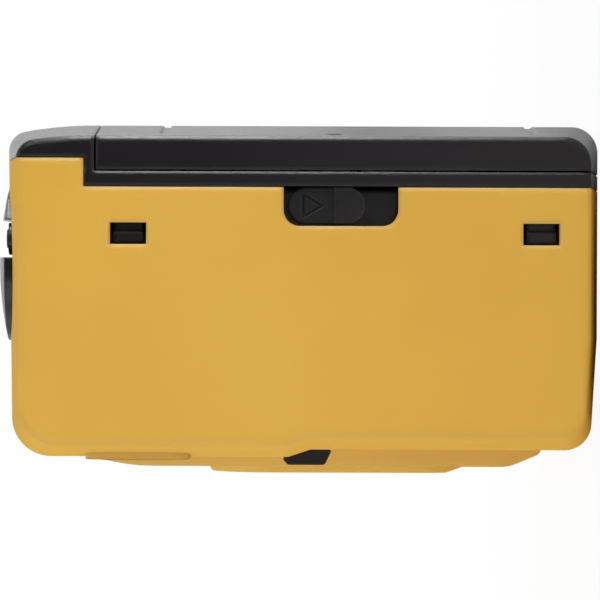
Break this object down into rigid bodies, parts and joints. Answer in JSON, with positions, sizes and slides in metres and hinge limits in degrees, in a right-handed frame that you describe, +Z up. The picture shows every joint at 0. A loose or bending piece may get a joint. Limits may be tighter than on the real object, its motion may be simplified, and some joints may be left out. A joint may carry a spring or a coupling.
{
  "type": "reusable film camera",
  "caption": "Compact reusable 35 mm film camera with a yellow moulded shell, black hinged back, rewind crank, thumb wheel and built-in flash.",
  "frame": {"origin": "on the ground under the middle of the camera", "axes": "+X towards the viewer's left, +Y from the lens to the back, +Z up"},
  "size_m": [0.116, 0.0396, 0.0641],
  "materials": {
    "yellow_shell": "moulded, satin gloss",
    "black_body": "moulded, fine satin texture",
    "black_fittings": "moulded, satin",
    "gloss_black": "moulded, gloss",
    "blackened_steel": "blackened sheet",
    "clear_lens": "clear moulded acrylic",
    "white_dial": "moulded, printed numbers",
    "bright_metal": "bright foil",
    "circuit_board": "lacquered",
    "capacitor_sleeve": "shrunk sleeve",
    "amber_lamp": "tinted, clear",
    "steel": "plated"
  },
  "bodies": {
    "camera_body": {"battery_contact_upper": "steel", "battery_cover_pin": "steel", "battery_holder": "black_body", "body_screws": "steel", "cassette_chamber": "black_body", "door_hinge_pin": "steel", "flash_capacitor": "capacitor_sleeve", "flash_circuit_board": "circuit_board", "flash_reflector": "bright_metal", "flash_tube": "clear_lens", "flash_window": "clear_lens", "frame_counter_window": "clear_lens", "front_shell": "yellow_shell", "latch_spring": "steel", "lens_bezel": "gloss_black", "lens_element": "clear_lens", "lens_retainer": "gloss_black", "light_cone": "black_body", "main_body": "black_body", "ready_lamp": "amber_lamp", "release_lever_pin": "steel", "rewind_release_spring": "steel", "shutter_button_spring": "steel", "shutter_plate": "gloss_black", "shutter_spring": "steel", "strap_bar": "steel", "take_up_chamber": "black_body", "viewfinder_bezel": "black_fittings", "viewfinder_eyepiece": "clear_lens", "viewfinder_front_lens": "clear_lens", "wheel_pawl": "steel"},
    "back_door": {"back_door": "black_body", "pressure_plate": "steel", "pressure_plate_spring": "steel"},
    "door_latch": {"door_latch_slider": "black_fittings"},
    "rewind_lift": {"rewind_sleeve": "black_fittings"},
    "rewind_spin": {"rewind_knob": "black_fittings", "rewind_shaft": "steel", "crank_pin": "steel"},
    "rewind_crank": {"rewind_crank": "black_fittings"},
    "crank_finger_knob": {"crank_finger_knob": "black_fittings"},
    "shutter_button": {"shutter_button": "black_fittings"},
    "release_lever": {"release_lever": "black_fittings"},
    "shutter_blade": {"shutter_blade": "blackened_steel"},
    "advance": {"advance_wheel": "black_fittings", "take_up_spool": "black_fittings"},
    "sprocket": {"sprocket_shaft": "black_fittings"},
    "frame_counter": {"frame_counter_dial": "white_dial"},
    "flash_switch": {"flash_switch": "black_fittings"},
    "rewind_release": {"rewind_release_button": "black_fittings"},
    "battery_cover": {"battery_cover": "yellow_shell", "battery_contact_spring": "steel"}
  },
  "joints": [
    {"name": "door_swing", "type": "hinge", "parent": "camera_body", "child": "back_door", "pos_m": [-0.053, 0.01575, 0.026], "axis": [0, 0, 1], "range_deg": [0, 90]},
    {"name": "latch_slide", "type": "slide", "parent": "camera_body", "child": "door_latch", "axis": [0, 0, -1], "range_m": [0, 0.0028], "stiffness_N_per_m": 120, "springref_m": -0.002, "deforming": ["latch_spring"]},
    {"name": "rewind_lift", "type": "slide", "parent": "camera_body", "child": "rewind_lift", "axis": [0, 0, 1], "range_m": [0, 0.005]},
    {"name": "rewind_turn", "type": "hinge", "parent": "rewind_lift", "child": "rewind_spin", "pos_m": [0.041, 0.0037, 0.06], "axis": [0, 0, 1], "continuous": true},
    {"name": "crank_fold", "type": "hinge", "parent": "rewind_spin", "child": "rewind_crank", "pos_m": [0.035, 0.00643, 0.0624], "axis": [0, -1, 0], "range_deg": [0, 130]},
    {"name": "finger_knob_turn", "type": "hinge", "parent": "rewind_crank", "child": "crank_finger_knob", "pos_m": [0.0465, 0.00643, 0.0624], "axis": [0, 0, 1], "continuous": true},
    {"name": "shutter_press", "type": "slide", "parent": "camera_body", "child": "shutter_button", "axis": [0, 0, -1], "range_m": [0, 0.0015], "stiffness_N_per_m": 250, "springref_m": -0.002, "deforming": ["shutter_button_spring"]},
    {"name": "lever_rock", "type": "hinge", "parent": "camera_body", "child": "release_lever", "pos_m": [-0.0175, -0.0096, 0.0573], "axis": [0, -1, 0], "range_deg": [0, 10.6]},
    {"name": "blade_swing", "type": "hinge", "parent": "camera_body", "child": "shutter_blade", "pos_m": [-0.0066, -0.0115, 0.0346], "axis": [0, 1, 0], "range_deg": [0, 32], "stiffness_Nm_per_rad": 0.0002, "springref_deg": -17.19},
    {"name": "advance_turn", "type": "hinge", "parent": "camera_body", "child": "advance", "pos_m": [-0.04, 0.0052, 0.0578], "axis": [0, 0, 1], "continuous": true},
    {"name": "sprocket_turn", "type": "hinge", "parent": "camera_body", "child": "sprocket", "pos_m": [-0.0225, 0.0066, 0.03], "axis": [0, 0, 1], "continuous": true},
    {"name": "counter_turn", "type": "hinge", "parent": "camera_body", "child": "frame_counter", "pos_m": [-0.015, 0.0066, 0.0599], "axis": [0, 0, 1], "continuous": true},
    {"name": "flash_switch_slide", "type": "slide", "parent": "camera_body", "child": "flash_switch", "axis": [0, 0, -1], "range_m": [0, 0.0032]},
    {"name": "rewind_release_press", "type": "slide", "parent": "camera_body", "child": "rewind_release", "axis": [0, 0, 1], "range_m": [0, 0.0009], "stiffness_N_per_m": 150, "springref_m": -0.0015, "deforming": ["rewind_release_spring"]},
    {"name": "battery_cover_swing", "type": "hinge", "parent": "camera_body", "child": "battery_cover", "pos_m": [-0.0331, -0.0073, 0.0009], "axis": [0, 1, 0], "range_deg": [0, 85]}
  ],
  "couplings": [
    {"joint": "lever_rock", "follows": "shutter_press", "rad_per_m": 122},
    {"joint": "counter_turn", "follows": "sprocket_turn", "ratio": -0.025}
  ]
}
